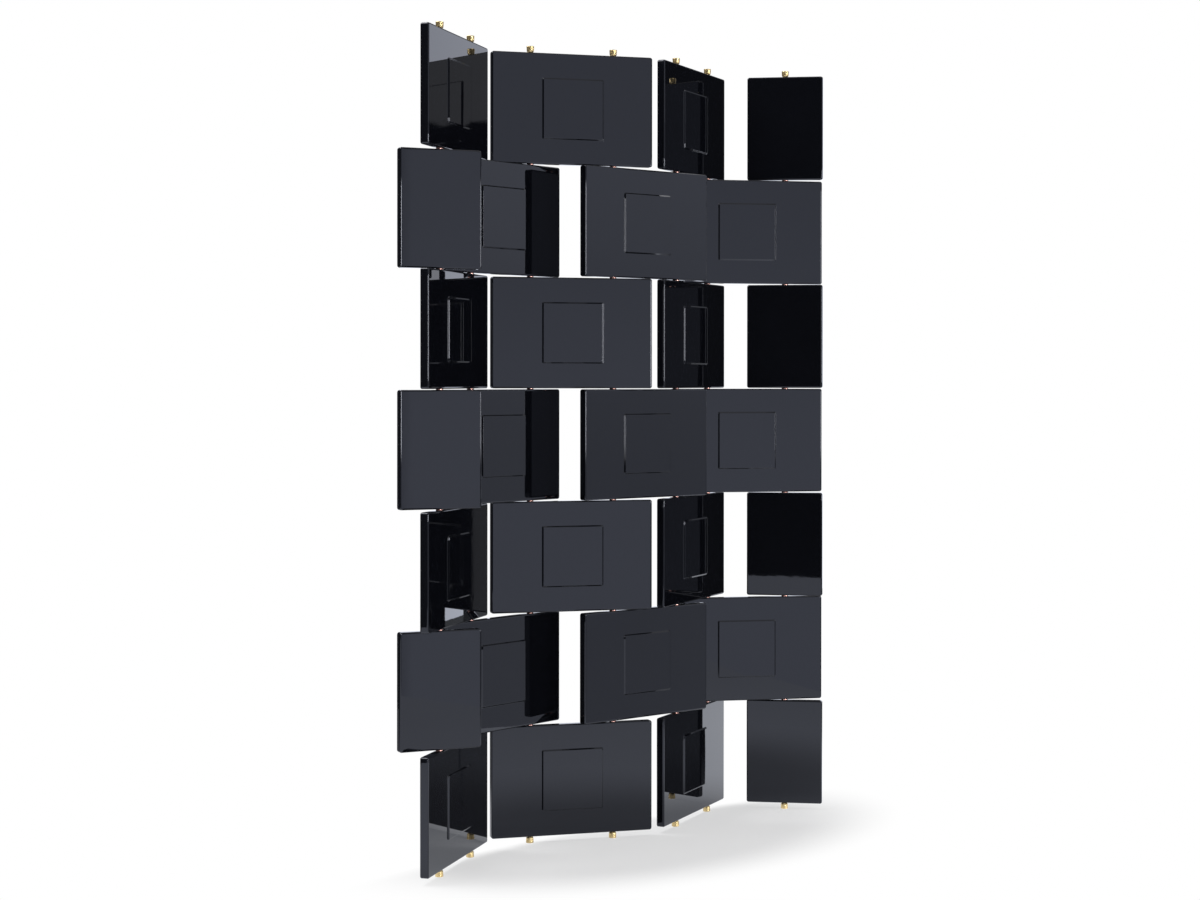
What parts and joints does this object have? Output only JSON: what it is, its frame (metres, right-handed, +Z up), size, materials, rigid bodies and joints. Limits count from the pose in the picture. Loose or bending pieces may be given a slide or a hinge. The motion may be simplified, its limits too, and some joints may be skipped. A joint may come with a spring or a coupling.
{
  "type": "brick folding screen",
  "caption": "Free-standing folding screen of glossy black lacquered bricks with raised square panels, laid in bond and hinged on upright brass rods with turned knobs and feet.",
  "frame": {"origin": "centre of the footprint in the standing pose, on the floor under the feet", "axes": "+X runs along the screen from the left end to the right end as seen from the front, +Y is to the back, +Z is up along the rods"},
  "size_m": [1.298, 0.2592, 1.869],
  "materials": {
    "black_lacquer": "high-gloss black lacquer on wood",
    "brass": "polished",
    "copper": null
  },
  "bodies": {
    "leaf_1": {"leaf1_brick_course1": "black_lacquer", "leaf1_brick_course3": "black_lacquer", "leaf1_brick_course5": "black_lacquer", "leaf1_brick_course7": "black_lacquer", "rod_1": "brass", "spacers_1": "copper", "knob_1": "brass", "foot_1": "brass", "rod_2": "brass", "spacers_2": "copper", "knob_2": "brass", "foot_2": "brass"},
    "leaf_2": {"leaf2_brick_course2": "black_lacquer", "leaf2_brick_course4": "black_lacquer", "leaf2_brick_course6": "black_lacquer"},
    "leaf_3": {"leaf3_brick_course1": "black_lacquer", "leaf3_brick_course3": "black_lacquer", "leaf3_brick_course5": "black_lacquer", "leaf3_brick_course7": "black_lacquer", "rod_3": "brass", "spacers_3": "copper", "knob_3": "brass", "foot_3": "brass", "rod_4": "brass", "spacers_4": "copper", "knob_4": "brass", "foot_4": "brass"},
    "leaf_4": {"leaf4_brick_course2": "black_lacquer", "leaf4_brick_course4": "black_lacquer", "leaf4_brick_course6": "black_lacquer"},
    "leaf_5": {"leaf5_brick_course1": "black_lacquer", "leaf5_brick_course3": "black_lacquer", "leaf5_brick_course5": "black_lacquer", "leaf5_brick_course7": "black_lacquer", "rod_5": "brass", "spacers_5": "copper", "knob_5": "brass", "foot_5": "brass", "rod_6": "brass", "spacers_6": "copper", "knob_6": "brass", "foot_6": "brass"},
    "leaf_6": {"leaf6_brick_course2": "black_lacquer", "leaf6_brick_course4": "black_lacquer", "leaf6_brick_course6": "black_lacquer", "rod_7": "brass", "spacers_7": "copper", "knob_7": "brass", "foot_7": "brass"},
    "left_half_2": {"left_half_brick_course2": "black_lacquer"},
    "left_half_4": {"left_half_brick_course4": "black_lacquer"},
    "left_half_6": {"left_half_brick_course6": "black_lacquer"},
    "right_half_1": {"right_half_brick_course1": "black_lacquer"},
    "right_half_3": {"right_half_brick_course3": "black_lacquer"},
    "right_half_5": {"right_half_brick_course5": "black_lacquer"},
    "right_half_7": {"right_half_brick_course7": "black_lacquer"}
  },
  "joints": [
    {"name": "fold_at_rod_2", "type": "hinge", "parent": "leaf_2", "child": "leaf_1", "pos_m": [-0.38187, 0.05509, 0], "axis": [0, 0, -1], "range_deg": [-110.7, 159.3]},
    {"name": "fold_at_rod_3", "type": "hinge", "parent": "leaf_3", "child": "leaf_2", "pos_m": [-0.1803, 0.07913, 0], "axis": [0, 0, 1], "range_deg": [-168.3, 101.7]},
    {"name": "fold_at_rod_4", "type": "hinge", "parent": "leaf_3", "child": "leaf_4", "pos_m": [0.00138, -0.01145, 0], "axis": [0, 0, 1], "range_deg": [-159.2, 110.8]},
    {"name": "fold_at_rod_5", "type": "hinge", "parent": "leaf_4", "child": "leaf_5", "pos_m": [0.20421, -0.01959, 0], "axis": [0, 0, -1], "range_deg": [-110.4, 159.6]},
    {"name": "fold_at_rod_6", "type": "hinge", "parent": "leaf_5", "child": "leaf_6", "pos_m": [0.39203, 0.05744, 0], "axis": [0, 0, 1], "range_deg": [-80.7, 189.3]},
    {"name": "turn_left_half_2", "type": "hinge", "parent": "leaf_1", "child": "left_half_2", "pos_m": [-0.55569, -0.04976, 0], "axis": [0, 0, 1], "continuous": true},
    {"name": "turn_left_half_4", "type": "hinge", "parent": "leaf_1", "child": "left_half_4", "pos_m": [-0.55569, -0.04976, 0], "axis": [0, 0, 1], "continuous": true},
    {"name": "turn_left_half_6", "type": "hinge", "parent": "leaf_1", "child": "left_half_6", "pos_m": [-0.55569, -0.04976, 0], "axis": [0, 0, 1], "continuous": true},
    {"name": "turn_right_half_1", "type": "hinge", "parent": "leaf_6", "child": "right_half_1", "pos_m": [0.56418, -0.05014, 0], "axis": [0, 0, 1], "continuous": true},
    {"name": "turn_right_half_3", "type": "hinge", "parent": "leaf_6", "child": "right_half_3", "pos_m": [0.56418, -0.05014, 0], "axis": [0, 0, 1], "continuous": true},
    {"name": "turn_right_half_5", "type": "hinge", "parent": "leaf_6", "child": "right_half_5", "pos_m": [0.56418, -0.05014, 0], "axis": [0, 0, 1], "continuous": true},
    {"name": "turn_right_half_7", "type": "hinge", "parent": "leaf_6", "child": "right_half_7", "pos_m": [0.56418, -0.05014, 0], "axis": [0, 0, 1], "continuous": true}
  ]
}
